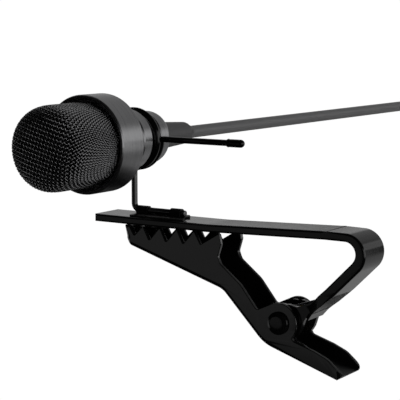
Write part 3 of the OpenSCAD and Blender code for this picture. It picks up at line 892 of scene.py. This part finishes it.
# Cap crimped on the arm, with a rolled edge
x0 = MIC.x + 16.35 - 2.4
cap_prof = [(0.41, 0.0), (0.46, -0.02), (0.52, 0.02), (0.545, 0.1), (0.53, 0.19), (0.49, 0.25),
            (0.5, 0.33), (0.51, 0.5)]
cap_prof += [(0.51, 0.5 + 1.4 * i / 4) for i in range(1, 5)]
cap_prof += [(0.51 * math.cos(a), 1.9 + 0.53 * math.sin(a)) for a in np.radians(np.arange(10, 91, 10))]
cap = lathe("cap", [(max(r, 0.0), y) for r, y in cap_prof], Vector((0, 0, 0)), "Y", 40, closed=False)
cap.data.transform(Matrix.Rotation(math.radians(-90), 4, "Z"))
cap.data.transform(Matrix.Translation(Vector((x0, ARM_Y, ARM_Z)) * MM))
mark_sharp(cap.data, 55)
# the cap takes the darker copy of the wire's finish: painted shade
paint(cap, wire_shade_copy)
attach(cap, "press_arm")
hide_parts("arm_cap")

# ---- grille: cloth woven from two sets of wires, pressed over the dome -----------

GR, G_SIDE, G_END, G_POW = 5.35, -15.5, -19.7, 4.2
PITCH = 0.37
THREAD_R = 0.08
TURNED = math.radians(30.3)             # direction of the first set of wires on the front


def grille_line(depth):
    """Outline of the dome from its pole: arc length, radius, y, and the outward normal."""
    t = np.linspace(math.pi / 2, 0, 900)
    r = (GR - depth) * np.cos(t).clip(0) ** (2 / G_POW)
    y = G_SIDE - (G_SIDE - G_END - depth) * np.sin(t).clip(0) ** (2 / G_POW)
    ys = np.linspace(G_SIDE, -9.4, 200)[1:]
    r = np.concatenate([r, np.full(len(ys), GR - depth)])
    y = np.concatenate([y, ys])
    s = np.concatenate([[0], np.cumsum(np.hypot(np.diff(r), np.diff(y)))])
    S = np.linspace(0, s[-1], 1500)
    r, y = np.interp(S, s, r), np.interp(S, s, y)
    dr, dy = np.gradient(r, S), np.gradient(y, S)
    n = np.hypot(dr, dy)
    nr, ny = dy / n, -dr / n
    for a in (nr, ny):
        a[1:-1] = np.convolve(a, [0.25, 0.5, 0.25], "same")[1:-1]
    nr[0], ny[0] = 0.0, -1.0
    return S, r, y, nr, ny


def flat_to_arc(rho):
    """The cloth lies as cut on the front and is drawn a little longer down the side."""
    return np.where(rho < 4.5, rho, 4.5 + (rho - 4.5) / 0.87)


def weave(name, first):
    S, R, Y, NR, NY = grille_line(0.16)
    rho_end = 4.5 + (np.interp(-10.2, Y, S) - 4.5) * 0.87
    per = 4.8                            # rings to a pitch
    sides = 6
    amp = THREAD_R * 0.94
    verts, quads, ends = [], [], []
    base = 0
    count = int(rho_end / PITCH) + 1
    ca, sa = math.cos(TURNED), math.sin(TURNED)
    ang = np.linspace(0, 2 * math.pi, sides, endpoint=False) + math.pi / 6
    for i in range(-count, count + 1):
        off = (i + 0.5) * PITCH
        if abs(off) >= rho_end - 0.4:
            continue
        half = math.sqrt(rho_end ** 2 - off ** 2)
        m = int(2 * half / PITCH * per)
        m = m if m > 6 else 6
        u = np.linspace(-half, half, m + 1)
        wave = np.cos(math.pi * (u / PITCH - 0.5 + i))
        if first:
            x, z = u * ca - off * sa, u * sa + off * ca
            h = amp * wave
        else:
            x, z = off * ca - u * sa, off * sa + u * ca
            h = -amp * wave
        rho, phi = np.hypot(x, z), np.arctan2(z, x)
        s = flat_to_arc(rho)
        r, y = np.interp(s, S, R), np.interp(s, S, Y)
        nr, ny = np.interp(s, S, NR), np.interp(s, S, NY)
        nv = np.stack([nr * np.cos(phi), ny, nr * np.sin(phi)], -1)
        nv /= np.linalg.norm(nv, axis=1, keepdims=True)
        c = np.stack([r * np.cos(phi), y, r * np.sin(phi)], -1) + nv * h[:, None]
        t = np.gradient(c, axis=0)
        t /= np.linalg.norm(t, axis=1, keepdims=True)
        b = np.cross(t, nv)
        b /= np.linalg.norm(b, axis=1, keepdims=True)
        nn = np.cross(b, t)
        ring = c[:, None, :] + THREAD_R * (np.cos(ang)[None, :, None] * nn[:, None, :]
                                           + np.sin(ang)[None, :, None] * b[:, None, :])
        verts.append(ring.reshape(-1, 3))
        k = len(u)
        ii, kk = np.meshgrid(np.arange(k - 1), np.arange(sides), indexing="ij")
        k1 = (kk + 1) % sides
        quads.append((np.stack([ii * sides + kk, (ii + 1) * sides + kk,
                                (ii + 1) * sides + k1, ii * sides + k1], -1) + base).reshape(-1, 4))
        ends += [list(range(base, base + sides)),
                 list(range(base + (k - 1) * sides, base + k * sides))[::-1]]
        base += k * sides
    v = np.concatenate(verts) + np.array((MIC.x, 0, MIC.z))
    o = quads_object(name, v, np.concatenate(quads), ends)
    paint(o, mesh_mat)
    print(name, "triangles", 2 * sum(len(q) for q in quads))
    return o


warp = weave("grille_warp", True)
weft = weave("grille_weft", False)
for g in (warp, weft):
    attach(g, "microphone")
    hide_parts("grille_mesh")


def foam():
    """Open-cell liner behind the mesh, right down into the collar."""
    S, R, Y, NR, NY = grille_line(0.36)
    s = np.linspace(0, np.interp(-9.9, Y, S), 90)
    r, y = np.interp(s, S, R), np.interp(s, S, Y)
    nr, ny = np.interp(s, S, NR), np.interp(s, S, NY)
    inner = [(max(a - 0.2 * b, 0.0), c - 0.2 * d) for a, b, c, d in zip(r, nr, y, ny)][::-1]
    prof = [(max(a, 0.0), c) for a, c in zip(r, y)] + inner
    rng = np.random.default_rng(7)
    bumps = rng.uniform(-0.035, 0.02, (len(prof), 128))
    bumps[0] = bumps[-1] = 0
    bumps[90:] = 0

    def wobble(p, a):
        return bumps

    o = lathe("foam_liner", prof, Vector((MIC.x, 0, MIC.z)), "Y", 128, closed=False, wobble=wobble)
    paint(o, foam_mat)
    return o


fo = foam()
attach(fo, "microphone")
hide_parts("grille_foam")

# ---- finishes of the carried-over pieces ------------------------------------------

for n in ("grille_collar", "rear_body", "rear_cap"):
    paint_node(n, turned_metal)
for n in ("cable_boot", "capsule_ring"):
    paint_node(n, rubber)
paint_node("cable_end", pvc)
paint_node("vent_screen", mesh_mat)
paint_node("swivel_rivet", plate_black)
paint_node("swivel_washer", dull_washer)
paint_node("pivot_bush", brass)
paint_node("capsule_case", capsule_metal)
paint_node("capsule_backplate", capsule_metal)
paint_node("capsule_diaphragm", gold)
paint_node("capsule_board", board_green)
paint_node("lead_wires", core_mat)
paint_node("cable_clamp", brass)
for n in ("plug_body", "lock_ring"):
    paint_node(n, plug_black)
for n in ("plug_sleeve", "plug_ring", "plug_tip"):
    paint_node(n, contact)
paint_node("plug_insulators", insulator)

# ---- floor, sky and lights ------------------------------------------------------------

floor_mat = bpy.data.materials.new("pale_floor")
floor_mat.use_nodes = True
t = floor_mat.node_tree
t.nodes.clear()
w = Nodes(t)
out = w.new("ShaderNodeOutputMaterial")
em = w.new("ShaderNodeEmission")
co = w.new("ShaderNodeTexCoord").outputs["Object"]
w.link(w.ramp(w.noise(co, 3.0), [(0.3, (0.99, 0.99, 0.99)), (0.7, (1, 1, 1))]), em.inputs["Color"])
em.inputs["Strength"].default_value = 1.02
w.link(em.outputs[0], out.inputs["Surface"])
fl = new_object("floor", [(-3000, -3000, -90), (3000, -3000, -90), (3000, 3000, -90), (-3000, 3000, -90)],
                [(0, 1, 2, 3)], smooth=False)
paint(fl, floor_mat)
for flag in ("visible_diffuse", "visible_glossy", "visible_transmission", "visible_shadow"):
    setattr(fl, flag, False)

world = bpy.data.worlds.new("studio")
bpy.context.scene.world = world
world.use_nodes = True
t = world.node_tree
t.nodes.clear()
w = Nodes(t)
out = w.new("ShaderNodeOutputWorld")
mix = w.new("ShaderNodeMixShader")
seen = w.new("ShaderNodeBackground")
seen.inputs["Color"].default_value = (1, 1, 1, 1)
seen.inputs["Strength"].default_value = 1.02
studio = w.new("ShaderNodeBackground")
studio.inputs["Color"].default_value = (1, 1, 1, 1)
path = w.new("ShaderNodeLightPath")
w.link(path.outputs["Is Camera Ray"], mix.inputs[0])
w.link(studio.outputs[0], mix.inputs[1])
w.link(seen.outputs[0], mix.inputs[2])
w.link(mix.outputs[0], out.inputs["Surface"])
gen = w.new("ShaderNodeTexCoord").outputs["Generated"]
xyz = w.new("ShaderNodeSeparateXYZ")
w.link(gen, xyz.inputs[0])
X, Y, Z = xyz.outputs[0], xyz.outputs[1], xyz.outputs[2]


def towards(azimuth):
    """Cosine between a direction's heading and an azimuth of the view convention."""
    a = math.radians(azimuth)
    dot = w.math("ADD", w.math("MULTIPLY", X, math.sin(a)), w.math("MULTIPLY", Y, -math.cos(a)))
    length = w.math("SQRT", w.math("SUBTRACT", 1.0, w.math("MULTIPLY", Z, Z)))
    return w.math("DIVIDE", dot, w.math("MAXIMUM", length, 0.001))


def panel(azimuth, half, soft, z0, z1, zsoft, strength):
    """A soft-edged bright panel of the studio."""
    c = towards(azimuth)
    side = w.map_range(c, math.cos(math.radians(half + soft)), math.cos(math.radians(half - soft)),
                       0, 1, True)
    low = w.map_range(Z, z0 - zsoft, z0 + zsoft, 0, 1, True)
    high = w.map_range(Z, z1 - zsoft, z1 + zsoft, 1, 0, True)
    return w.math("MULTIPLY", w.math("MULTIPLY", side, w.math("MULTIPLY", low, high)), strength)


total = w.math("ADD", panel(98, 52, 3, -0.17, 0.34, 0.05, 1.0),
               panel(196, 48, 4, 0.1, 0.34, 0.025, 0.5))
total = w.math("ADD", total, panel(195, 50, 12, 0.34, 0.8, 0.1, 0.3))
total = w.math("ADD", total, panel(173, 27, 5, -0.75, -0.16, 0.1, 0.36))
total = w.math("ADD", total, panel(252, 28, 6, -0.45, 0.0, 0.06, 0.5))
total = w.math("ADD", total, panel(325, 14, 8, -0.27, 0.03, 0.05, 0.14))
total = w.math("ADD", total, 0.006)
w.link(total, studio.inputs["Strength"])

sc = bpy.context.scene
sc.view_settings.view_transform = "Standard"
sc.view_settings.look = "None"
sc.view_settings.exposure = 0
sc.view_settings.gamma = 1
